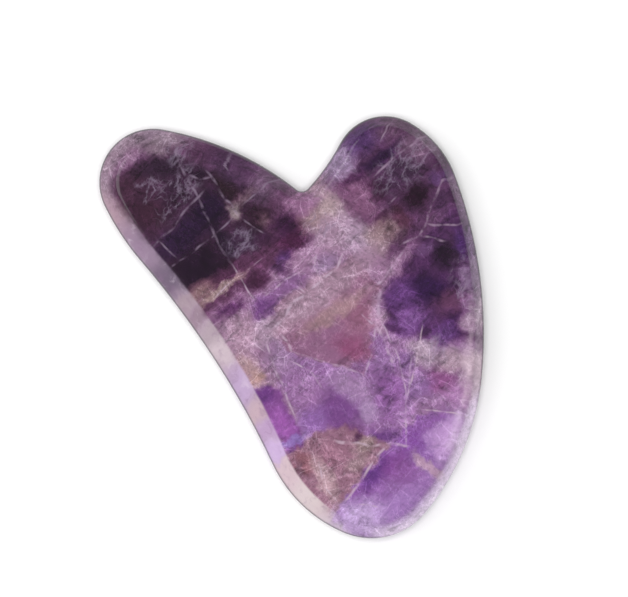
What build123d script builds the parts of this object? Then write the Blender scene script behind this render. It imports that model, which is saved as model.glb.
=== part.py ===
# A heart-shaped gua sha scraper, ground and polished from one slab of amethyst.
#
# The stone lies on its lower face. Z = 0 is that face and +Z is up through the thickness.
# +Y runs along the stone, to the top of the long lobe. +X runs across it, to the short lobe.
# The origin is the middle of the stone's length and width, on the lower face.
# Sizes are in millimetres and angles in degrees.

from build123d import *
import os

# Overall size
length = 85.0
width = 55.6
thickness = 6.5

# Long lobe, at the top left: its round, how far in from the left side that lies, and the
# place below the round's centre where the lobe's side is fullest
long_lobe_radius = 9.5
long_lobe_from_left = 0.6
long_lobe_side_radius = 43.7
long_lobe_side_from_left = 0.3
long_lobe_side_below_centre = 4.8

# Short lobe, at the right: its round, and how far in and down that lies
short_lobe_radius = 8.9
short_lobe_from_right = 1.0
short_lobe_below_top = 20.8

# Notch between the lobes: a small round, placed from the short lobe's centre. The long lobe's
# flank is this much steeper there than the line from the lobe's top, and the throat, the edge
# on the other side, rises at this angle
notch_radius = 1.5
notch_left_of_short_lobe = 13.8
notch_above_short_lobe = 5.7
notch_flank_steeper = 24.0
notch_throat_rise = 14.0

# Back, the long full edge on the right: its round below the short lobe's centre. From there to
# the tip it is this full, where 0 is a straight line and 1 is a square corner, and its fullest
# place is opposite a point this far past the middle of that line
back_radius = 16.0
back_below_short_lobe = 4.2
back_fullness = 0.315
back_fullest_past_middle = 4.4

# Tip at the bottom, and the heel on the left above the tip's centre
tip_radius = 12.4
tip_from_left = 2.0
heel_radius = 25.6
heel_above_tip_centre = 6.6

# Jaw edge, the hollow between the heel and the long lobe
jaw_hollow = 1.9

# Edge: the upright band round the middle of the thickness, and the polish of its corners
edge_height = 2.2
edge_round_radius = 1.5

# Bevel between the edge and each flat face: its width at each stretch of the rim, which is
# midway between the tip's and the jaw edge's at the heel, and the polish of its inner corner
long_lobe_bevel = 3.4
short_lobe_bevel = 2.2
back_bevel = 2.0
tip_bevel = 2.7
jaw_bevel = 3.6
face_round_radius = 1.2

left = -width / 2
right = width / 2
top = length / 2
bottom = -length / 2
edge_bottom = (thickness - edge_height) / 2
edge_top = (thickness + edge_height) / 2


def direction(angle):
    """The unit vector at an angle from +X towards +Y."""
    return Vector(1, 0).rotate(Axis.Z, angle)


def angle_of(vector):
    """The angle from +X towards +Y at which a vector points."""
    return Vector(1, 0).get_signed_angle(vector, Vector(0, 0, 1))


class RimPoint:
    """A place on the rim, the direction that the rim faces there, and its bevel's width."""

    def __init__(self, place, facing, bevel):
        self.place = place
        self.normal = direction(facing)
        self.bevel = bevel


long_lobe_centre = Vector(left + long_lobe_from_left + long_lobe_radius, top - long_lobe_radius)
short_lobe_centre = Vector(
    right - short_lobe_from_right - short_lobe_radius,
    top - short_lobe_below_top - short_lobe_radius,
)
tip_centre = Vector(left + tip_from_left + tip_radius, bottom + tip_radius)
notch_centre = short_lobe_centre + Vector(-notch_left_of_short_lobe, notch_above_short_lobe)

long_lobe_top = RimPoint(long_lobe_centre + Vector(0, long_lobe_radius), 90, long_lobe_bevel)
long_lobe_side = RimPoint(
    Vector(left + long_lobe_side_from_left, long_lobe_centre.Y - long_lobe_side_below_centre),
    180,
    long_lobe_bevel,
)
short_lobe_top = RimPoint(short_lobe_centre + Vector(0, short_lobe_radius), 90, short_lobe_bevel)
back = RimPoint(Vector(right, short_lobe_centre.Y - back_below_short_lobe), 0, back_bevel)
tip = RimPoint(tip_centre + Vector(0, -tip_radius), -90, tip_bevel)
heel = RimPoint(
    Vector(left, tip_centre.Y + heel_above_tip_centre),
    180,
    (tip_bevel + jaw_bevel) / 2,
)
jaw = RimPoint(
    Vector(left + jaw_hollow, (heel.place.Y + long_lobe_side.place.Y) / 2),
    180,
    jaw_bevel,
)


def notch_end(facing):
    """An end of the notch's small round, where the rim faces the notch's centre."""
    return RimPoint(notch_centre - direction(facing) * notch_radius, facing, short_lobe_bevel)


# The rim faces a quarter turn to the left of the way it runs, clockwise
flank_facing = angle_of(notch_centre - long_lobe_top.place) + 90 - notch_flank_steeper
notch_flank = notch_end(flank_facing)
notch_throat = notch_end(90 + notch_throat_rise)

back_to_tip = tip.place - back.place
back_corner = Vector(back.place.X, tip.place.Y)
back_middle = back.place + back_to_tip / 2
back_line_point = back_middle + back_to_tip.normalized() * back_fullest_past_middle
back_fullest = RimPoint(
    back_line_point + (back_corner - back_line_point) * back_fullness,
    angle_of(back_to_tip) + 90,
    back_bevel,
)

# The rim's stretches, clockwise from the notch. Each is two arcs that meet in a smooth joint.
# The arc at the point named first has the radius given, and the other arc's radius is
# whatever makes it meet the first one and face the right way at its own point.
stretches = [
    (short_lobe_top, notch_throat, short_lobe_radius),
    (short_lobe_top, back, short_lobe_radius),
    (back, back_fullest, back_radius),
    (tip, back_fullest, tip_radius),
    (tip, heel, tip_radius),
    (heel, jaw, heel_radius),
    (long_lobe_side, jaw, long_lobe_side_radius),
    (long_lobe_top, long_lobe_side, long_lobe_radius),
    (long_lobe_top, notch_flank, long_lobe_radius),
]


def arc(centre, radius, start_normal, end_normal):
    """The arc that faces from one direction round to another. A hollow one has a radius below 0."""
    middle_normal = (start_normal + end_normal).normalized()
    return ThreePointArc(
        centre + start_normal * radius,
        centre + middle_normal * radius,
        centre + end_normal * radius,
    )


def stretch_arcs(first, second, radius, share):
    """A stretch's two arcs, drawn in from the rim by this share of the bevel's width."""
    first_radius = radius - share * first.bevel
    first_centre = first.place - first.normal * radius
    second_place = second.place - second.normal * share * second.bevel
    reach = first_centre - second_place
    second_radius = (first_radius**2 - reach.dot(reach)) / (
        2 * (first_radius + reach.dot(second.normal))
    )
    second_centre = second_place - second.normal * second_radius
    joint_normal = (first_centre - second_centre) / (second_radius - first_radius)
    return [
        arc(first_centre, first_radius, first.normal, joint_normal),
        arc(second_centre, second_radius, joint_normal, second.normal),
    ]


def outline(height, share):
    """The stone's outline at a height: the rim at share 0, the flat face's outline at 1."""
    hollow_radius = -notch_radius - share * short_lobe_bevel
    edges = [arc(notch_centre, hollow_radius, notch_flank.normal, notch_throat.normal)]
    for first, second, radius in stretches:
        edges += stretch_arcs(first, second, radius, share)
    return Wire(edges).moved(Location((0, 0, height)))


def edges_at(solid, *heights):
    """The solid's edges that lie level at these heights."""
    return [
        edge
        for height in heights
        for edge in solid.edges().filter_by_position(Axis.Z, height, height)
    ]


# The blank has sharp corners: lower face, lower bevel, edge, upper bevel, upper face
blank = Solid.make_loft(
    [
        outline(0, 1),
        outline(edge_bottom, 0),
        outline(edge_top, 0),
        outline(thickness, 1),
    ],
    ruled=True,
)
edge_polished = blank.fillet(edge_round_radius, edges_at(blank, edge_bottom, edge_top))
scraper_stone = edge_polished.fillet(face_round_radius, edges_at(edge_polished, 0, thickness))
scraper_stone.label = "scraper_stone"

os.makedirs("parts", exist_ok=True)
export_step(scraper_stone, "parts/scraper_stone.step")
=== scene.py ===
import math

import bmesh
import bpy
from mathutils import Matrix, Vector


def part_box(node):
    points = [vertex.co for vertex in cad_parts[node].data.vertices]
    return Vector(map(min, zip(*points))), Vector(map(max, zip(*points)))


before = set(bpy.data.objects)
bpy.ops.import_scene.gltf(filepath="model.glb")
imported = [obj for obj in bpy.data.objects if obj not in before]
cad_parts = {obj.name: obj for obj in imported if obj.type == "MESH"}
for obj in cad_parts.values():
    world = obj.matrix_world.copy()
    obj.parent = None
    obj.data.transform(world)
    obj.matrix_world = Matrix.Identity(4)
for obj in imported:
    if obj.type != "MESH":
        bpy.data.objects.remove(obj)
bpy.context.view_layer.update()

low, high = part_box("scraper_stone")
middle = (low + high) / 2

MM = 0.001
THICKNESS = (high.z - low.z) / MM

# Camera: straight above the stone, turned so that the lobes point up
roll = math.radians(-33.5)
look_at = Vector((-5.35 * MM, 0.34 * MM, middle.z))
camera_height = 0.6
view_width = 110.65 * MM
sensor_width = 36.0

# Polished quartz: its roughness, its refraction, and the power that deepens its colours
POLISH = 0.16
QUARTZ_IOR = 1.54
COLOUR_DEPTH = 1.05

# Colours as hex, from the ground tone to the girdle's painted shade. A zone's own stand where it is
# laid.
GROUND = "8f6c8a"
SMOKE = "38303a"
CLEARING = "bab6b6"
PURE_DARK = "edb3ed"
GLOW = "bec4c0"
MILK = "cdbfcf"
CRAZE = "93829a"
# Painted light through the thin rim
RIM_LIGHT = "e4d3ea"
# Painted shade where the stone turns down its rim
GIRDLE_SHADE = "75677a"

# How far a slope shifts what it shows, and how the growth zones lean with depth
BEND = 1.5
LEAN = (-0.45, 0.3)

# Sockets of the colour Mix node
MIX_SHARE = 0
MIX_UNDER = 6
MIX_OVER = 7
MIX_RESULT = 2


def paint(colour):
    """A hex colour as linear red, green, blue and alpha, by the sRGB curve."""
    shares = [int(colour[i:i + 2], 16) / 255 for i in (0, 2, 4)]
    linear = [s / 12.92 if s < 0.04045 else ((s + 0.055) / 1.055) ** 2.4 for s in shares]
    return (*linear, 1.0)


class Stone:
    """The amethyst's nodes. Places are millimetres of the part, seen from above."""

    def __init__(self, tree):
        self.tree = tree
        self.colour = None          # the layers so far
        self.body = None            # millimetres of the part
        self.depth = None           # millimetres below the upper face
        self.upward = None          # 1 on the flat faces, 0 on the upright edge
        self.place = None           # where the growth zones are looked up
        self.threads_place = None   # where the threads and veins are looked up
        self.layered_place = None   # the same, with its own pattern at each depth
        self.share = None           # how whole the healed cracks are
        self.plain = None           # the zones before clouds and threads
        self.paleness = None        # 0 in the darkest zones, 1 in the pale ones
        self.lower_rim = None       # the stretch of rim painted pale, with light through the thin stone

    def node(self, kind, inputs, output=0, **settings):
        node = self.tree.nodes.new(kind)
        for name, value in settings.items():
            setattr(node, name, value)
        for key, value in inputs.items():
            if isinstance(value, bpy.types.NodeSocket):
                self.tree.links.new(value, node.inputs[key])
            else:
                node.inputs[key].default_value = value
        return node.outputs[output]

    def calculate(self, operation, first, second=0.0):
        return self.node("ShaderNodeMath", {0: first, 1: second}, operation=operation)

    def times(self, first, second):
        return self.calculate("MULTIPLY", first, second)

    def either(self, first, second):
        """The stronger of two masks."""
        return self.calculate("MAXIMUM", first, second)

    def without(self, mask):
        """The mask turned round: 1 where it was 0."""
        return self.calculate("SUBTRACT", 1.0, mask)

    def vector(self, operation, first, second):
        return self.node("ShaderNodeVectorMath", {0: first, 1: second}, operation=operation)

    def scaled(self, vector, size):
        inputs = {0: vector, "Scale": size}
        return self.node("ShaderNodeVectorMath", inputs, operation="SCALE")

    def flattened(self, vector):
        return self.vector("MULTIPLY", vector, (1, 1, 0))

    def fade(self, value, start, end):
        """0 before start, 1 past end, and a smooth rise between them."""
        inputs = {"Value": value, "From Min": start, "From Max": end}
        settings = {"interpolation_type": "SMOOTHSTEP", "clamp": False}
        return self.node("ShaderNodeMapRange", inputs, **settings)

    def noise(self, place, scale, detail=2.0, roughness=0.5, distortion=0.0, output="Fac"):
        inputs = {
            "Vector": place,
            "Scale": scale,
            "Detail": detail,
            "Roughness": roughness,
            "Distortion": distortion,
        }
        return self.node("ShaderNodeTexNoise", inputs, output)

    def drift(self, place, scale, reach, detail=1.0):
        """A wandering shift of up to about half of reach."""
        cloud = self.noise(place, scale, detail, output="Color")
        centred = self.vector("SUBTRACT", cloud, (0.5, 0.5, 0.5))
        return self.scaled(centred, reach)

    def stretched(self, place, middle, turn, long_way, short_way):
        """The place as seen from middle, turned by turn degrees and drawn out."""
        inputs = {
            "Vector": place,
            "Location": (middle[0], middle[1], 0),
            "Rotation": (0, 0, math.radians(turn)),
            "Scale": (long_way, short_way, 1),
        }
        return self.node("ShaderNodeMapping", inputs, vector_type="TEXTURE")

    def ellipse(self, place, middle, turn, long_way, short_way):
        """1 at the middle of an ellipse, falling to 0 at its rim."""
        local = self.stretched(place, middle, turn, long_way, short_way)
        return self.node("ShaderNodeTexGradient", {0: local}, "Fac", gradient_type="SPHERICAL")

    def spot(self, middle, reach, turn=0, soft=0.7):
        """A soft ellipse: reach is its half width and half height, where it is half as strong."""
        outer = 1 + soft / 2
        inside = self.ellipse(self.place, middle, turn, reach[0] * outer, reach[1] * outer)
        return self.fade(inside, 0, soft / outer)

    def facet(self, corners, soft=0.8):
        """A growth zone with straight sides: corners run counter-clockwise."""
        mask = None
        for here, there in zip(corners, corners[1:] + corners[:1]):
            along = Vector((there[0] - here[0], there[1] - here[1])).normalized()
            start = Vector(here) - along.orthogonal() * soft / 2
            turn = math.degrees(math.atan2(along.y, along.x)) + 90
            local = self.stretched(self.place, start, turn, soft, 1)
            side = self.node("ShaderNodeTexGradient", {0: local}, "Fac", gradient_type="EASING")
            mask = side if mask is None else self.calculate("MINIMUM", mask, side)
        return mask

    def lay(self, colour, mask, share=1.0, blend="MIX"):
        """Lays a hex colour, or another colour socket, over the colour so far."""
        if share < 1.0:
            mask = self.times(mask, share)
        over = paint(colour) if isinstance(colour, str) else colour
        inputs = {MIX_SHARE: mask, MIX_UNDER: self.colour, MIX_OVER: over}
        settings = {"data_type": "RGBA", "blend_type": blend}
        self.colour = self.node("ShaderNodeMix", inputs, MIX_RESULT, **settings)

    def lay_spot(self, colour, middle, reach, turn=0, share=0.9, soft=1.2):
        self.lay(colour, self.spot(middle, reach, turn, soft), share)

    def lay_facet(self, colour, corners, share=0.9, soft=0.8):
        self.lay(colour, self.facet(corners, soft), share)


def in_group(stone, name, lay_colours, place, *extra):
    """Lays a set of colours inside its own node group, over the colour so far."""
    group = bpy.data.node_groups.new(name, "ShaderNodeTree")
    sockets = group.interface
    sockets.new_socket("Colour", in_out="INPUT", socket_type="NodeSocketColor")
    sockets.new_socket("Place", in_out="INPUT", socket_type="NodeSocketVector")
    sockets.new_socket("Share", in_out="INPUT", socket_type="NodeSocketFloat")
    sockets.new_socket("Colour", in_out="OUTPUT", socket_type="NodeSocketColor")
    inner = Stone(group)
    entry = group.nodes.new("NodeGroupInput")
    inner.colour = entry.outputs["Colour"]
    inner.place = entry.outputs["Place"]
    inner.share = entry.outputs["Share"]
    lay_colours(inner, *extra)
    leaving = group.nodes.new("NodeGroupOutput")
    group.links.new(inner.colour, leaving.inputs["Colour"])
    node = stone.tree.nodes.new("ShaderNodeGroup")
    node.node_tree = group
    stone.tree.links.new(stone.colour, node.inputs["Colour"])
    stone.tree.links.new(place, node.inputs["Place"])
    if stone.share is not None:
        stone.tree.links.new(stone.share, node.inputs["Share"])
    stone.colour = node.outputs["Colour"]


def find_places(stone):
    """Sets out the stone's own coordinates, with growth zones that lean through its thickness."""
    stone.body = stone.scaled(stone.node("ShaderNodeTexCoord", {}, "Object"), 1 / MM)
    facing = stone.node("ShaderNodeTexCoord", {}, "Normal")
    rise = stone.node("ShaderNodeSeparateXYZ", {0: facing}, "Z")
    stone.upward = stone.calculate("ABSOLUTE", rise)
    height = stone.node("ShaderNodeSeparateXYZ", {0: stone.body}, "Z")
    stone.depth = stone.calculate("SUBTRACT", THICKNESS, height)

    # A slope shows what lies further in, as it bends the line of sight
    bent = stone.vector("SUBTRACT", stone.body, stone.scaled(facing, BEND))
    lean = stone.node("ShaderNodeCombineXYZ", {0: LEAN[0], 1: LEAN[1]})
    leaning = stone.scaled(lean, stone.depth)
    swirl = stone.scaled(stone.drift(stone.body, 0.09, 2.4), stone.depth)
    shifted = stone.vector("ADD", stone.vector("ADD", bent, leaning), swirl)

    # Threads wander a little, and the zones' borders are ragged as well
    wobble = stone.drift(stone.body, 0.25, 0.9)
    wandering = stone.vector("ADD", stone.flattened(shifted), wobble)
    stone.threads_place = stone.flattened(wandering)
    down = stone.node("ShaderNodeCombineXYZ", {2: stone.depth})
    stone.layered_place = stone.vector("ADD", stone.threads_place, down)
    fray = stone.drift(stone.body, 0.6, 2.8, 6)
    stone.place = stone.flattened(stone.vector("ADD", stone.threads_place, fray))


# In the zones below, a spot is its colour, middle, half width and half height, then
# its turn in degrees, share and softness where they differ from lay_spot's own.


def colour_long_lobe(stone):
    """Nearly black field, with smoky haze towards its end and its right flank."""
    stone.lay_facet("2e1c2c", [(-26, 12), (0.5, 12.5), (-1, 19), (-12, 37.5), (-26, 37.5)], soft=3)

    # Brown tinge at its end
    stone.lay_spot("3c2331", (-22, 33.5), (3.2, 4.2))
    stone.lay_spot("3b2531", (-21, 28.5), (3.5, 2.5))

    # Darkest pools
    stone.lay_spot("1f1122", (-15.2, 34.2), (4, 1.8), -28)
    stone.lay_spot("211323", (-10, 30.5), (1.8, 2.2))
    stone.lay_spot("2b1b36", (-18.5, 22), (6, 2.4), 5)
    stone.lay_spot("1c0e20", (-19, 16.2), (5, 3.8))
    stone.lay_spot("22142c", (-12, 23.5), (3.5, 3))
    stone.lay_spot("1f1424", (-13, 17), (1.4, 3.5))
    stone.lay_spot("281c20", (-7.4, 25), (1.6, 3))
    stone.lay_spot("2c1c26", (-4.8, 17.6), (3.2, 2.2))

    # Haze of the crazed fields
    stone.lay_spot("322132", (-15.5, 29), (4.2, 2.2), 22, 0.6)
    stone.lay_spot("3b2536", (-19.3, 32.6), (2.8, 1.7), 10, 0.6)
    stone.lay_spot("453649", (-10.6, 15.4), (2.6, 2.2), 0, 0.6)

    # Smoky end and right flank
    stone.lay_spot("6b5466", (-18.5, 41.4), (9.5, 3.2), 0, 0.9, 0.6)
    stone.lay_spot("7c6e76", (-13.2, 37.8), (3, 2), -35, 0.75)
    stone.lay_spot("5d4368", (-14, 41), (2.5, 1.5), -20, 0.5)
    stone.lay_spot("503c4c", (-8.2, 34.2), (2.6, 6), 32, 0.85)
    stone.lay_spot("403345", (-4.6, 27.3), (2.3, 5), 27, 0.8)
    stone.lay_spot("655665", (-1.6, 21.4), (3, 2.6), 22, 0.8)
    stone.lay_spot("5f465a", (-0.6, 17), (2.5, 2.5), 0, 0.7)

    # Pale knots
    stone.lay_spot("857679", (-8.7, 20.7), (1.1, 1.5), 0, 0.9)
    stone.lay_spot("705c60", (-4.9, 14.9), (1.1, 2.2), 10, 0.8)
    stone.lay_spot("6d5d60", (-6, 21.8), (2.4, 0.9), 10, 0.7)


def colour_waist(stone):
    """Banded plum below the long lobe, paler and creamier towards the notch."""
    stone.lay_facet("4a2d40", [(-24, 8), (-2, 9), (1, 13), (-24, 13.5)], share=0.85, soft=2.5)

    # Cream streaks by the jaw, and wine dark bands
    stone.lay_spot("947c7a", (-18.4, 10.6), (5, 0.8), 5, 0.75)
    stone.lay_spot("9c7f7c", (-21.4, 12.2), (2.4, 1.4), 0, 0.6, 2)
    stone.lay_spot("381a30", (-12, 8.2), (2.2, 1.5))
    stone.lay_spot("4a2a4e", (-18.7, 6.8), (3.2, 1.3))
    stone.lay_spot("402a4a", (-7.2, 8.2), (1.4, 1.5), 0, 0.8)
    stone.lay_spot("523a68", (-5.4, 9.5), (1.5, 1), 0, 0.8)
    stone.lay_spot("401c38", (-2.2, 11), (3.6, 2), 0, 0.9)
    stone.lay_spot("3f2040", (-3, 14), (4, 1.6), 0, 0.8)

    # A clear violet pool, with its dark foot
    stone.lay_spot("633f74", (-13.4, 3.4), (2.6, 2.6), 0, 0.85, 1)
    stone.lay_spot("5a3a60", (-13, 0.9), (1.8, 0.6), 8, 0.8)

    # Pale mauve across the middle
    stone.lay_spot("a993ad", (-15.8, 0), (2.6, 1.8), 0, 0.7)
    stone.lay_spot("a28296", (-19.5, 2.2), (3, 3), 0, 0.7)
    stone.lay_spot("a98a8c", (-21.4, -4), (1.5, 3.4), 0, 0.8)
    stone.lay_spot("7f5988", (-8.5, 4.4), (4, 1.8), 5, 0.75)
    stone.lay_spot("8d7194", (-0.2, 4), (2.3, 1.8), 0, 0.8)
    stone.lay_spot("a890a5", (-4.5, 1.4), (5, 1.1), 6, 0.7)
    stone.lay_spot("9c7c86", (-6, -1), (8, 1.2), 0, 0.7)

    # Cream and mauve towards the notch
    stone.lay_spot("8d7473", (3, 11.8), (3, 2.2), -20, 0.8)
    stone.lay_spot("a38d90", (6.6, 12), (2.2, 3), 0, 0.8)
    stone.lay_spot("a68ca4", (7, 6), (2.6, 4), 0, 0.8)
    stone.lay_spot("997c92", (3.6, 8.4), (3, 3), 0, 0.75)
    stone.lay_spot("8b6483", (2, 15.8), (2.6, 2.4), 0, 0.8)
    stone.lay_spot("9a7d8a", (5.5, 17), (2, 1.4), 0, 0.7)
    stone.lay_spot("7e5a7a", (9.6, 13.6), (2.4, 2.6), 0, 0.6)


def colour_short_lobe(stone):
    """Smoky plum with a crazed grey field, a tan patch and a dark block."""
    lobe = [(7.5, 20), (8.5, 10), (8, -1), (16, -1.5), (29, 4), (29, 22), (16, 24)]
    stone.lay_facet("4b344b", lobe, soft=3)

    # Violet and grey along its end
    stone.lay_spot("503c64", (16.5, 18.6), (4.4, 2), 0, 0.8)
    stone.lay_spot("8f7898", (11, 17.4), (3.2, 2.4), 10, 0.9)
    stone.lay_spot("665262", (22.8, 18.6), (3.5, 2.6), -30, 0.8)

    # Plum and wine below the notch
    stone.lay_spot("281436", (18, 14.4), (4.6, 1.2), 3, 0.85)
    stone.lay_spot("7e5a74", (11, 10.4), (3, 4.2), 0, 0.85)
    stone.lay_spot("35182f", (14.6, 10), (1.5, 2.1), 0, 0.9)
    stone.lay_spot("3e2040", (12, 14), (2, 0.9), 0, 0.7)

    # Tan patch
    stone.lay_spot("7a6466", (12.4, 3.4), (2.8, 2.3), 0, 0.9)
    stone.lay_spot("957a80", (9.3, 3), (1.8, 2.6), 0, 0.7)
    stone.lay_spot("4c2e3c", (15.4, 4), (1.2, 2.4), 0, 0.8)
    stone.lay_spot("4c3246", (12.4, 5.9), (1.4, 0.8), 0, 0.8)

    # Dark block, and the haze of the crazed field
    stone.lay_spot("241120", (19.6, 5.4), (2.9, 2.1), 0, 0.95)
    stone.lay_spot("3d2f40", (20, 10.4), (4.4, 2.6), 5, 0.8)
    stone.lay_spot("715f6d", (24.3, 12.6), (2.6, 2.6), 0, 0.7)
    stone.lay_spot("33203a", (23, 2), (2.4, 1.6), 20, 0.7)
    stone.lay_spot("5c466c", (24, 6.2), (1.4, 1.2), 0, 0.7)


def colour_heart(stone):
    """Mauve field under the waist, with the smooth rosy triangle in its middle."""
    field = [(-19, -9), (-18.5, -20), (-8, -28.5), (-1, -26), (1.5, -12), (-2, -5), (-14, -4)]
    stone.lay_facet("896293", field, soft=2)

    # Mauve and violet clouds
    stone.lay_spot("8e6f92", (-16, -5.5), (2.2, 3.4))
    stone.lay_spot("936a98", (-15.5, -12), (3, 3.2), 0, 0.8)
    stone.lay_spot("6f4780", (-12.4, -18.5), (4.4, 3), -20, 0.8)
    stone.lay_spot("8a62a0", (-17.8, -17.6), (3, 2.2), 0, 0.8)
    stone.lay_spot("a587a9", (-8.4, -16.6), (2.2, 4), 20, 0.45)
    stone.lay_spot("a98cb2", (-8.2, -21.6), (1.6, 1.8), 0, 0.6)
    stone.lay_spot("5c3a5c", (-13, -22.6), (1.2, 2.6), 38, 0.8)
    stone.lay_spot("875993", (-3, -20.4), (2.6, 4.2), -38, 0.8)
    stone.lay_spot("64427a", (-8.6, -26.4), (3, 1.1), -35, 0.8)
    stone.lay_spot("83628e", (-1.6, -14.6), (1.8, 2.6), 0, 0.7)

    # Rosy triangle
    triangle = [(-14.6, -4.8), (-5.3, -15.9), (5.4, -4.2), (4, 3), (-12, 3)]
    stone.lay_facet("89617a", triangle, share=0.85, soft=0.6)
    stone.lay_spot("9a7c90", (-5, 0.6), (12, 2.4), 2, 0.9)
    stone.lay_spot("874e6c", (-4.4, -10.6), (2.0, 3.2), 40, 0.8)
    stone.lay_spot("8f5f73", (-0.6, -7), (3, 3.2), 0, 0.6)
    stone.lay_spot("6d5078", (-5.4, -14), (1.5, 1.2), 0, 0.7)
    stone.lay_spot("9c7c80", (-4, -3.6), (6.4, 1.3), 0, 0.7)
    stone.lay_spot("86617b", (-10.4, -6), (2.4, 2), 0, 0.6)

    # Pale corner by the dark bay, and a lilac cloud near the tip
    stone.lay_spot("a884a2", (3.2, -8), (1.7, 3), -35, 0.85)
    stone.lay_spot("a478ac", (-2, -26.4), (2.4, 2), 0, 0.6)


def colour_jaw_side(stone):
    """Bright purple block beside the jaw, and the rosy brown one below its crisp end."""
    stone.lay_facet("7c4b8a", [(-24, -7), (-24, -19.8), (-20.4, -20.2), (-19.3, -9)], soft=0.9)
    stone.lay_spot("673f7c", (-22, -9), (1.8, 1.7), 0, 0.8)
    stone.lay_spot("9859a4", (-21.9, -15), (1.7, 2.9), 0, 0.9)
    stone.lay_spot("8a70b0", (-22.2, -18.6), (2.4, 0.7), -5, 0.8)
    stone.lay_spot("ae8882", (-21.4, -6), (1, 1.2), 0, 0.7)

    # Rosy brown block
    brown = [(-25, -20.1), (-25, -33.5), (-16, -30.6), (-8.6, -28.4), (-13.4, -20.6), (-18, -19.6)]
    stone.lay_facet("8c6676", brown, soft=1.2)
    stone.lay_spot("8e6476", (-18.4, -24.2), (2.4, 2.2), 0, 0.7)
    stone.lay_spot("8b5d63", (-22.4, -22.8), (1.2, 2.6), 0, 0.8)
    stone.lay_spot("8d7678", (-12.2, -25.8), (1.8, 1.8), 0, 0.85)
    stone.lay_spot("b0919a", (-21.2, -27), (1.3, 4), -8, 0.8)
    stone.lay_spot("8f767c", (-15, -28), (2, 1.4), 0, 0.7)
    stone.lay_spot("3d2440", (-12.4, -24), (0.9, 0.7), 30, 0.8)


def colour_tip(stone):
    """Clear violet at the rounded tip, with paler lilac windows near its rim."""
    tip = [(-26, -33.8), (-26, -44), (12, -44), (12, -28), (-2, -27), (-8.6, -28.2), (-16, -30.8)]
    stone.lay_facet("85589a", tip, soft=0.9)

    # Lilac and violet clouds
    stone.lay_spot("b89dc8", (-20, -36.6), (4.6, 3.2), -15, 0.9)
    stone.lay_spot("5b397a", (-13, -31.2), (3.4, 1.3), 14, 0.8)
    stone.lay_spot("7a4688", (-9, -33), (3.4, 2.8), 0, 0.85)
    stone.lay_spot("966cac", (-13, -38), (4, 2), -5, 0.7)
    stone.lay_spot("774890", (-4.4, -31.4), (2.2, 2.8), 8, 0.8)

    # Lilac window, with a cream streak beside it
    window = [(-2.6, -29.5), (-3.2, -36), (6, -36), (9, -30), (4.5, -30.2), (0, -26)]
    stone.lay_facet("a67eb4", window, share=0.75, soft=2.2)
    stone.lay_spot("b48ec0", (1, -33), (3, 2), 30, 0.8)
    stone.lay_spot("b4949c", (-5, -35.2), (0.9, 3.2), 12, 0.6)


def colour_back(stone):
    """Dusty violet between the heart and the back, clearing to cream at the rim."""
    field = [(1, -12), (-1, -26), (5, -31), (16, -26), (13, -20), (9, -14)]
    stone.lay_facet("8b678f", field, soft=2)
    stone.lay_spot("86517f", (5.4, -23.8), (3.2, 2.4), -25, 0.85)
    stone.lay_spot("a171a2", (6, -27.4), (2.2, 2), 0, 0.7)
    stone.lay_spot("9a8595", (5.5, -18), (2.2, 2.6), 0, 0.8)
    stone.lay_spot("a48c98", (9.4, -22.6), (3.4, 1.9), -38, 0.75)
    stone.lay_spot("7a5a88", (1.8, -17.6), (1.6, 1.9), 0, 0.8)
    stone.lay_spot("7f5f90", (1.4, -22.6), (2.6, 2.2), 0, 0.7)


def colour_dark_bay(stone):
    """Inky purple along the back's upper half, with ripples towards the rim."""
    inner_side = [(5.2, -4.8), (3, -9.4), (3.6, -13), (10, -19)]
    outer_side = [(15, -21.5), (25, -9), (26, 3), (17, -0.8), (10, -2.6)]
    stone.lay_facet("41264b", inner_side + outer_side, soft=2.6)

    # Inky pools
    stone.lay_spot("5f4072", (8, -8), (3.6, 2.8), -20, 0.9)
    stone.lay_spot("29133a", (12.6, -9.6), (2.6, 3.6), 25, 0.9)
    stone.lay_spot("1f1022", (18.4, -6), (2.8, 2.4), 0, 0.95)
    stone.lay_spot("40295a", (21.6, -6), (1.2, 3), -15, 0.8)

    # Clearer violet towards the heart
    stone.lay_spot("765288", (6.2, -12.4), (3.2, 2.2), -10, 0.85)
    stone.lay_spot("4b2e54", (3.4, -11.8), (0.8, 1.5), 25, 0.8)
    stone.lay_spot("66465c", (14.4, -13.4), (2.8, 2), -20, 0.8)
    stone.lay_spot("40234e", (13, -17), (1.8, 1.8), 0, 0.8)
    stone.lay_spot("6b4b80", (10.4, -17.4), (1.9, 1.8), 0, 0.8)
    stone.lay_spot("9c7c98", (15.4, -18.6), (2.2, 1.8), -40, 0.8)

    # Pale ripples at the rim and along the top
    stone.lay_spot("806a86", (19, -11.6), (1.6, 3), -35, 0.75)
    stone.lay_spot("7f5d80", (17, -15.6), (1.6, 2.2), -35, 0.7)
    stone.lay_spot("6c5474", (15.6, -3.2), (1.8, 1), -10, 0.6)


def shade(stone, level, dark, light):
    """Deepens the colour where a noise is low and clears it where it is high.

    dark and light each hold the level where the effect is full, and its share there.
    """
    darkest, dark_share = dark
    lightest, light_share = light
    stone.lay(SMOKE, stone.fade(level, 0.5, darkest), dark_share, "MULTIPLY")
    stone.lay(CLEARING, stone.fade(level, 0.53, lightest), light_share, "DODGE")


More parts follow.
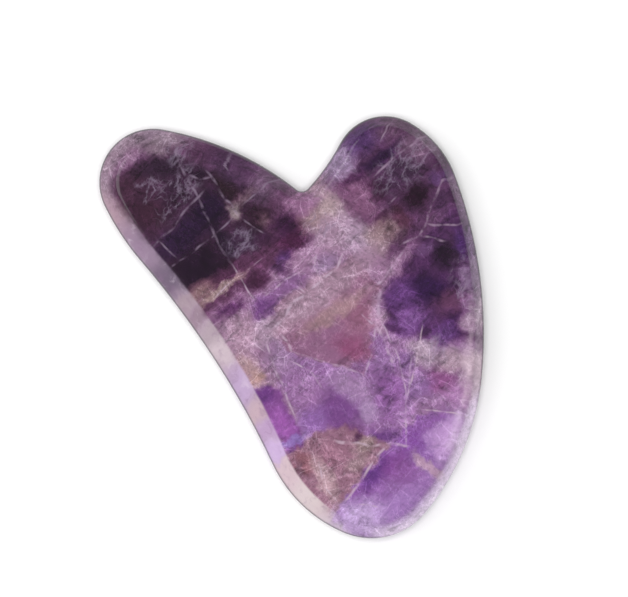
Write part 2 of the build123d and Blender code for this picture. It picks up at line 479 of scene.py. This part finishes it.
def cloud_the_colour(stone):
    """Soft clouds, drawn-out smears and fine grain in every zone; the dark ones get purer."""
    brightness = stone.node("ShaderNodeRGBToBW", {0: stone.colour})
    stone.paleness = stone.fade(brightness, 0.04, 0.22)
    stone.lay(PURE_DARK, stone.without(stone.paleness), 0.75, "MULTIPLY")
    stone.plain = stone.colour
    cloud = stone.noise(stone.body, 0.3, 7, 0.66, distortion=0.3)
    shade(stone, cloud, dark=(0.2, 0.62), light=(0.8, 0.5))
    smear = stone.noise(stretched_grain(stone, 3.2, 12, 3.0), 0.85, 4, 0.6)
    shade(stone, smear, dark=(0.24, 0.5), light=(0.78, 0.42))
    steep_smear = stone.noise(stretched_grain(stone, 3.6, -58, 9.0), 1.1, 4, 0.62)
    shade(stone, steep_smear, dark=(0.24, 0.4), light=(0.78, 0.4))
    grain = stone.noise(stone.body, 2.3, 4, 0.68)
    shade(stone, grain, dark=(0.24, 0.5), light=(0.78, 0.5))


def stretched_grain(stone, stretch, turn, seed):
    """The stone's layered place, drawn out along one direction; seed shifts the pattern."""
    inputs = {
        "Vector": stone.layered_place,
        "Location": (seed, -seed, seed),
        "Rotation": (0, 0, math.radians(turn)),
        "Scale": (stretch, 1, 1),
    }
    return stone.node("ShaderNodeMapping", inputs, vector_type="TEXTURE")


def thread_mask(stone, scale, width, stretch, turn, seed):
    """Thin threads: the places where a stretched noise crosses its middle value."""
    level = stone.noise(stretched_grain(stone, stretch, turn, seed), scale, 5, 0.62)
    distance = stone.calculate("ABSOLUTE", stone.calculate("SUBTRACT", level, 0.5))
    return stone.fade(distance, width, 0)


def feather_mask(stone, scale, stretch, turn, seed, start, end):
    """Feathery wisps: the ridges of a ridged noise, from faint at start to full at end."""
    inputs = {
        "Vector": stretched_grain(stone, stretch, turn, seed),
        "Scale": scale,
        "Detail": 5,
        "Roughness": 0.62,
        "Offset": 1,
        "Gain": 2,
    }
    settings = {"noise_type": "RIDGED_MULTIFRACTAL", "normalize": False}
    ridges = stone.node("ShaderNodeTexNoise", inputs, **settings)
    return stone.fade(ridges, start, end)


def crack_network(stone, place, scale, width):
    """Hair-thin healed cracks round irregular cells, closed in some places and open in others."""
    inputs = {"Vector": place, "Scale": scale}
    settings = {"voronoi_dimensions": "2D", "feature": "DISTANCE_TO_EDGE"}
    edge = stone.node("ShaderNodeTexVoronoi", inputs, **settings)
    worn = stone.fade(stone.noise(stone.body, 0.3, 4), 0.42, 0.62)
    return stone.times(stone.fade(edge, width, 0), worn)


def widest(stone, fields):
    """One mask for several fields, each a middle, reach and turn."""
    mask = None
    for middle, reach, turn in fields:
        field = stone.spot(middle, reach, turn)
        mask = field if mask is None else stone.either(mask, field)
    return mask


def lay_threads(stone, mask, glow, milk):
    """A healed crack clears the colour round it, and is milky itself in the paler zones."""
    stone.lay(GLOW, mask, glow, "DODGE")
    stone.lay(MILK, stone.times(mask, stone.paleness), milk)


# Fields thick with feathery cracks
CRAZED_FIELDS = [
    ((21, 11), (6.5, 3.4), 5),
    ((-15, 29), (5.5, 2.6), 20),
    ((-19, 32.5), (3, 2), 0),
    ((-10.6, 15.4), (2.8, 2.2), 0),
    ((-11, 35.5), (2.4, 3), -35),
    ((18.8, -11.5), (2.6, 4.5), -35),
    ((3, 10.5), (3.4, 2.4), 0),
    ((7, -19), (2.4, 2.8), 0),
]


def thread_the_stone(stone):
    """Healed cracks too fine to place one by one, thick in some fields and faint elsewhere."""
    patchy = stone.fade(stone.noise(stone.body, 0.18, 3), 0.38, 0.62)
    level_threads = thread_mask(stone, scale=0.4, width=0.022, stretch=1.8, turn=10, seed=4.0)
    steep_threads = thread_mask(stone, scale=0.35, width=0.018, stretch=2.4, turn=75, seed=11.0)
    threads = stone.either(stone.times(level_threads, patchy), steep_threads)
    lay_threads(stone, threads, glow=0.55, milk=0.12)
    wisps = feather_mask(stone, scale=0.3, stretch=1.5, turn=-20, seed=2.0, start=1.5, end=2.4)
    lay_threads(stone, wisps, glow=0.6, milk=0.1)
    streaks = thread_mask(stone, scale=0.8, width=0.03, stretch=6, turn=3, seed=5.0)
    waist = stone.spot((-10, 9.5), (14, 4), 3)
    lay_threads(stone, stone.times(streaks, waist), glow=0.5, milk=0.08)
    crazed = widest(stone, CRAZED_FIELDS)
    feathers = feather_mask(stone, scale=0.5, stretch=1.7, turn=28, seed=7.0, start=1.4, end=2.4)
    cells = stone.times(crack_network(stone, stone.place, scale=0.4, width=0.07), 0.7)
    stone.lay(CRAZE, stone.times(crazed, stone.either(feathers, cells)), 0.5)
    network = crack_network(stone, stone.threads_place, scale=0.17, width=0.025)
    lay_threads(stone, network, glow=0.55, milk=0.2)


# Smooth fields, where clouds and threads are faint
CALM_FIELDS = [
    ((-5, -6), (6.5, 6), 0),
    ((-12, -18), (6, 5), -30),
    ((-5, -34), (14, 5), 12),
    ((12, -25), (8, 3.5), 50),
    ((-21.5, -14), (3, 6), 0),
]


def calm_the_fields(stone):
    """Lays each smooth field's plain colour partly back over its clouds and threads."""
    stone.lay(stone.plain, widest(stone, CALM_FIELDS), 0.5)


# Each piece of a vein is a spindle: its half length as a share of the piece's run, its half
# width as a share of the vein's width, and how far in from its outline it fades
SPINDLE_LENGTH = 0.72
SPINDLE_WIDTH = 0.85
SPINDLE_EDGE = 0.85


def vein_mask(stone, routes):
    """Routes of thin spindles laid end to end, each a little past its corner."""
    mask = None
    for width, corners in routes:
        for here, there in zip(corners, corners[1:]):
            run = Vector((there[0] - here[0], there[1] - here[1]))
            centre = ((here[0] + there[0]) / 2, (here[1] + there[1]) / 2)
            turn = math.degrees(math.atan2(run.y, run.x))
            reach = run.length * SPINDLE_LENGTH
            inside = stone.ellipse(stone.place, centre, turn, reach, width * SPINDLE_WIDTH)
            spindle = stone.fade(inside, 0, SPINDLE_EDGE)
            mask = spindle if mask is None else stone.either(mask, spindle)
    return mask


# The larger healed cracks: each is its width, and the corners that it passes
LONG_LOBE_VEINS = [
    (0.45, [(-11.2, 36.5), (-12, 32.5), (-12.3, 29.5), (-12.6, 26)]),
    (0.45, [(-12.6, 26), (-13.2, 21.5), (-14.1, 17.5), (-14, 13)]),
    (0.4, [(-24, 23.6), (-19, 24.3), (-14.6, 26), (-10.6, 26.8)]),
    (0.35, [(-26, 18.8), (-19.5, 18.9), (-16, 19)]),
    (0.3, [(-16.5, 19), (-12.8, 19.4), (-9.5, 20)]),
    (0.3, [(-22.6, 24), (-21.3, 19.2)]),
    (0.4, [(-8.8, 29.5), (-8.6, 26), (-8.9, 23.4), (-8.2, 22), (-8.4, 19.5)]),
    (0.3, [(-8.4, 19.5), (-7.5, 17), (-6.2, 14.4)]),
    (0.35, [(-6.5, 21), (-3.5, 21.3), (0, 22)]),
    (0.3, [(-5.8, 30.5), (-5.6, 26.5)]),
    (0.4, [(-12, 31), (-10.5, 28.8), (-8.8, 28)]),
]
WAIST_VEINS = [
    (0.3, [(-14, 13), (-14.3, 9.5), (-14.2, 5.5)]),
    (0.25, [(-20.5, 10), (-15.5, 10.6), (-9.5, 11.3)]),
    (0.3, [(-12.5, 5.5), (-8, 5.8), (-5, 5.7), (-0.5, 6.3)]),
    (0.45, [(-16.5, 1.4), (-14.4, 0), (-11.5, 0.4), (-9, 1.8), (-5.8, 1.6)]),
    (0.3, [(-6.7, 4.5), (-6, 1.6), (-5.8, -0.5)]),
    (0.4, [(-5, 2), (-2.5, 2.2), (0.5, 2.5), (3.5, 4.2)]),
    (0.3, [(-2.4, 2), (-2.2, 5), (-0.5, 6.5)]),
    (0.5, [(-13.6, -1.5), (-13.3, -3.5), (-13.9, -5.2)]),
    (0.35, [(-16.4, -1), (-17.4, -4), (-18.4, -10), (-19.6, -15.5)]),
    (0.3, [(-15, -6.5), (-12.8, -10), (-12.6, -14)]),
]
HEART_VEINS = [
    (0.35, [(-14, -5), (-10.4, -9.4), (-5.3, -15.8)]),
    (0.35, [(-5.3, -15.8), (-1, -12), (2, -9)]),
    (0.6, [(1.6, -9.5), (3.6, -6.5), (5.8, -4)]),
    (0.5, [(4.6, -3.5), (7, -3.9)]),
    (0.35, [(6.5, -3.8), (9.5, -2.4), (13, -1.2)]),
    (0.5, [(1.4, -9), (0.8, -13), (-0.6, -18)]),
    (0.3, [(2.4, -9), (1.8, -14), (0.4, -19), (-2, -24)]),
    (0.3, [(0.2, -6.5), (1, -9.5)]),
    (0.35, [(4.6, -15.5), (1.4, -20), (-3.4, -25.5), (-6, -30)]),
]
SHORT_LOBE_VEINS = [
    (0.4, [(12.5, -0.2), (16, -0.6), (18.6, 0.6), (21.4, 2.8), (24, 4.7), (27, 6.4)]),
    (0.4, [(16.2, -0.6), (18, -2.4), (19.5, -4)]),
    (0.35, [(18.4, 0.4), (20.4, -1.4), (22.8, -3)]),
    (0.3, [(13, 6.6), (16.5, 7.2)]),
    (0.3, [(19.5, 16.8), (22, 18.4)]),
    (0.35, [(15.5, 12.5), (20, 13.2), (26.5, 13.4)]),
]
LOWER_VEINS = [
    (0.4, [(-27, -34), (-21.5, -32.8), (-16, -30.8), (-11.5, -28.8), (-8, -28)]),
    (0.45, [(-16, -22.4), (-13.8, -24.4), (-11.4, -26.6), (-8, -28.4), (-5.6, -30.6)]),
    (0.3, [(-20.4, -24), (-22, -28), (-21.4, -32)]),
    (0.3, [(-19, -33.8), (-17, -35.4), (-15.6, -37.2)]),
    (0.3, [(8, -14), (5.6, -17), (5.8, -21)]),
    (0.3, [(5.4, -16.6), (3, -19.4), (0.2, -21.6)]),
    (0.25, [(-0.5, -26), (2.5, -28.6), (5, -31)]),
]
VEIN_SETS = [
    ("long lobe", LONG_LOBE_VEINS, "837186"),
    ("waist", WAIST_VEINS, "b8a2b6"),
    ("heart", HEART_VEINS, "b49bb4"),
    ("short lobe", SHORT_LOBE_VEINS, "998198"),
    ("lower", LOWER_VEINS, "bda6b6"),
]


def lay_veins(stone, routes, colour):
    stone.lay(colour, stone.times(vein_mask(stone, routes), stone.share), 0.75)


def vein_the_stone(stone):
    """The larger healed cracks, worn thin here and there."""
    stone.share = stone.fade(stone.noise(stone.body, 0.6, 4), 0.32, 0.62)
    for name, routes, colour in VEIN_SETS:
        in_group(stone, name + " veins", lay_veins, stone.threads_place, routes, colour)


# Where the rim is painted pale and milky, with light through the thin stone, as corners of a growth
# zone
LOWER_RIM = [(-12, -33), (-22, -35), (-22, -48), (34, -48), (34, -11), (13, -12)]

# Depths below the face, in millimetres, between which the rims' painted light sets in
RIM_START = -0.3
RIM_FULL = 1.7


def paint_light_through_rims(stone):
    """Painted light through the thin rim: milky lilac round the tip and back, smoky on the lobes."""
    stone.lower_rim = stone.facet(LOWER_RIM, soft=5)
    # Pale strips along the rim of the back and tip: painted light through the thin rim
    stone.lay_spot("d4bdca", (12.2, -25.8), (7, 2.6), 48, 0.85)
    stone.lay_spot("ccb4d2", (3.5, -33.8), (5.5, 2), 36, 0.75)
    stone.lay_spot("d0bdca", (18.4, -17.8), (5, 2.2), 56, 0.85)
    stone.lay_spot("d8cad8", (22.6, -12.8), (5, 2), 66, 0.9)
    # Painted light through the thin rim, setting in with depth below the face
    falling_away = stone.fade(stone.depth, RIM_START, RIM_FULL)
    stone.lay(RIM_LIGHT, stone.times(falling_away, stone.lower_rim), 0.9)
    # Fainter painted light along the upper back and the long lobe's end
    upper_back = stone.spot((24, -5), (6, 11), -18, 0.8)
    stone.lay("a892aa", stone.times(falling_away, upper_back), 0.4)
    lobe_end = stone.spot((-21, 40), (12, 8), -20, 0.6)
    stone.lay("a58e9f", stone.times(falling_away, lobe_end), 0.6)


def colour_jaw_band(stone):
    """The jaw's wide bevel, its pattern paler with painted light through the thin stone: smoky at the
    long lobe, creamy at its middle, lilac, then cream again.
    """
    stone.lay_spot("b0949f", (-26, 33), (8, 6))
    stone.lay_spot("99839a", (-26, 25), (8, 5))
    stone.lay_spot("706176", (-26, 17.5), (8, 3.6))
    stone.lay_spot("ab98a2", (-26, 12.4), (8, 1.2))
    stone.lay_spot("9a8493", (-26, 9.6), (8, 1.6))
    stone.lay_spot("b2a2aa", (-26, 5), (8, 2.6))
    stone.lay_spot("cfbfc6", (-26, 1.5), (8, 2.4))
    stone.lay_spot("c0a8cb", (-26, -5), (8, 3))
    stone.lay_spot("c8afb8", (-26, -10.6), (8, 1.8))
    stone.lay_spot("bfa2c6", (-26, -14.6), (8, 2))
    stone.lay_spot("d0b6de", (-26, -18.4), (8, 1.8))
    stone.lay_facet("d8c2c8", [(-36, -20), (-36, -40), (-16, -40), (-16, -20)])
    stone.lay_spot("dccecf", (-26, -28), (8, 3))
    stone.lay_spot("dacdd6", (-26, -35), (8, 3))
    band = stone.noise(stone.place, 0.5, 5, 0.6)
    stone.lay("8f7390", stone.fade(band, 0.5, 0.2), 0.6)
    stone.lay("e2d3e2", stone.fade(band, 0.54, 0.8), 0.5)


# Depths below the face, in millimetres, between which the bevel's pale band of painted light sets in
BEVEL_START = 0.02
BEVEL_FULL = 0.25


def paint_light_and_shade_at_edges(stone):
    """Painted light pales every bevel past a crisp edge, the jaw's wide bevel in its own band;
    painted shade darkens the stone where it turns down its rim.
    """
    inside = stone.colour
    bevel = stone.fade(stone.depth, BEVEL_START, BEVEL_FULL)
    # Painted light through the thin bevel, all round the stone
    stone.lay("baa4b6", bevel)
    in_group(stone, "jaw band", colour_jaw_band, stone.place)
    band = stone.colour
    stone.colour = inside
    # Over the jaw's bevel, its own band: its pattern made paler by painted light through the thin
    # stone
    jaw = stone.spot((-28, -2), (6.8, 42), 1, 0.35)
    stone.lay(band, stone.times(bevel, jaw), 0.9)
    # Painted shade where the stone turns down its rim, left off most of the lower rim
    steep = stone.fade(stone.upward, 0.74, 0.4)
    shaded_share = stone.without(stone.times(stone.lower_rim, 0.95))
    stone.lay(GIRDLE_SHADE, stone.times(steep, shaded_share), 0.88, "MULTIPLY")


ZONES = [
    ("long lobe", colour_long_lobe),
    ("waist", colour_waist),
    ("short lobe", colour_short_lobe),
    ("heart", colour_heart),
    ("jaw side", colour_jaw_side),
    ("tip", colour_tip),
    ("back", colour_back),
    ("dark bay", colour_dark_bay),
]


def amethyst():
    """Polished amethyst: colour zones, clouds, healed cracks, and painted light and shade at its
    rims.
    """
    material = bpy.data.materials.new("polished amethyst")
    material.use_nodes = True
    stone = Stone(material.node_tree)
    find_places(stone)
    stone.colour = stone.node("ShaderNodeRGB", {})
    stone.colour.default_value = paint(GROUND)
    for name, lay_colours in ZONES:
        in_group(stone, name, lay_colours, stone.place)
    paint_light_through_rims(stone)
    cloud_the_colour(stone)
    thread_the_stone(stone)
    calm_the_fields(stone)
    vein_the_stone(stone)
    paint_light_and_shade_at_edges(stone)
    deepened = stone.node("ShaderNodeGamma", {0: stone.colour, 1: COLOUR_DEPTH})
    shader = material.node_tree.nodes["Principled BSDF"]
    material.node_tree.links.new(deepened, shader.inputs["Base Color"])
    shader.inputs["Roughness"].default_value = POLISH
    shader.inputs["IOR"].default_value = QUARTZ_IOR
    return material


def add_camera():
    data = bpy.data.cameras.new("camera")
    data.sensor_width = sensor_width
    data.lens = sensor_width * camera_height / view_width
    camera = bpy.data.objects.new("camera", data)
    camera.location = look_at + Vector((0, 0, camera_height))
    camera.rotation_euler = (0, 0, roll)
    bpy.context.collection.objects.link(camera)
    bpy.context.scene.camera = camera


# The studio: half the floor's side in metres, its tone and its roughness, then the sky
FLOOR_REACH = 3.0
FLOOR_TONE = (0.9, 0.9, 0.9, 1)
FLOOR_ROUGHNESS = 0.9
SKY_COLOUR = (1, 1, 1, 1)
SKY_STRENGTH = 0.22


def add_floor():
    mesh = bpy.data.meshes.new("floor")
    form = bmesh.new()
    bmesh.ops.create_grid(form, x_segments=1, y_segments=1, size=FLOOR_REACH)
    form.to_mesh(mesh)
    form.free()
    floor = bpy.data.objects.new("floor", mesh)
    bpy.context.collection.objects.link(floor)
    material = bpy.data.materials.new("floor")
    material.use_nodes = True
    shader = material.node_tree.nodes["Principled BSDF"]
    shader.inputs["Base Color"].default_value = FLOOR_TONE
    shader.inputs["Roughness"].default_value = FLOOR_ROUGHNESS
    shader.inputs["Specular IOR Level"].default_value = 0.0
    mesh.materials.append(material)


# Softboxes: name, bearing and lean from overhead in degrees, size in metres, watts, mirrored
LIGHT_DISTANCE = 1.1
SOFTBOXES = [
    ("key", 135, 42, 1.0, 4.5, True),
    ("overhead", 0, 0, 0.7, 10.0, False),
]


def add_softbox(name, bearing, lean, size, power, mirrored):
    """A round softbox aimed at the stone; one that isn't mirrored leaves no gleam on the polish."""
    around = math.radians(bearing)
    down = math.radians(lean)
    flat_reach = LIGHT_DISTANCE * math.sin(down)
    height = LIGHT_DISTANCE * math.cos(down)
    place = Vector((flat_reach * math.cos(around), flat_reach * math.sin(around), height))
    data = bpy.data.lights.new(name, "AREA")
    data.shape = "DISK"
    data.size = size
    data.energy = power
    light = bpy.data.objects.new(name, data)
    light.location = place
    light.visible_glossy = mirrored
    light.rotation_euler = (-place).to_track_quat("-Z", "Y").to_euler()
    bpy.context.collection.objects.link(light)


def light_the_scene():
    world = bpy.data.worlds.new("studio")
    world.use_nodes = True
    sky = world.node_tree.nodes["Background"]
    sky.inputs["Color"].default_value = SKY_COLOUR
    sky.inputs["Strength"].default_value = SKY_STRENGTH
    bpy.context.scene.world = world
    for softbox in SOFTBOXES:
        add_softbox(*softbox)


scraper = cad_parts["scraper_stone"]
scraper.material_slots[0].material = amethyst()

add_camera()
add_floor()
light_the_scene()
bpy.context.scene.view_settings.view_transform = "Standard"
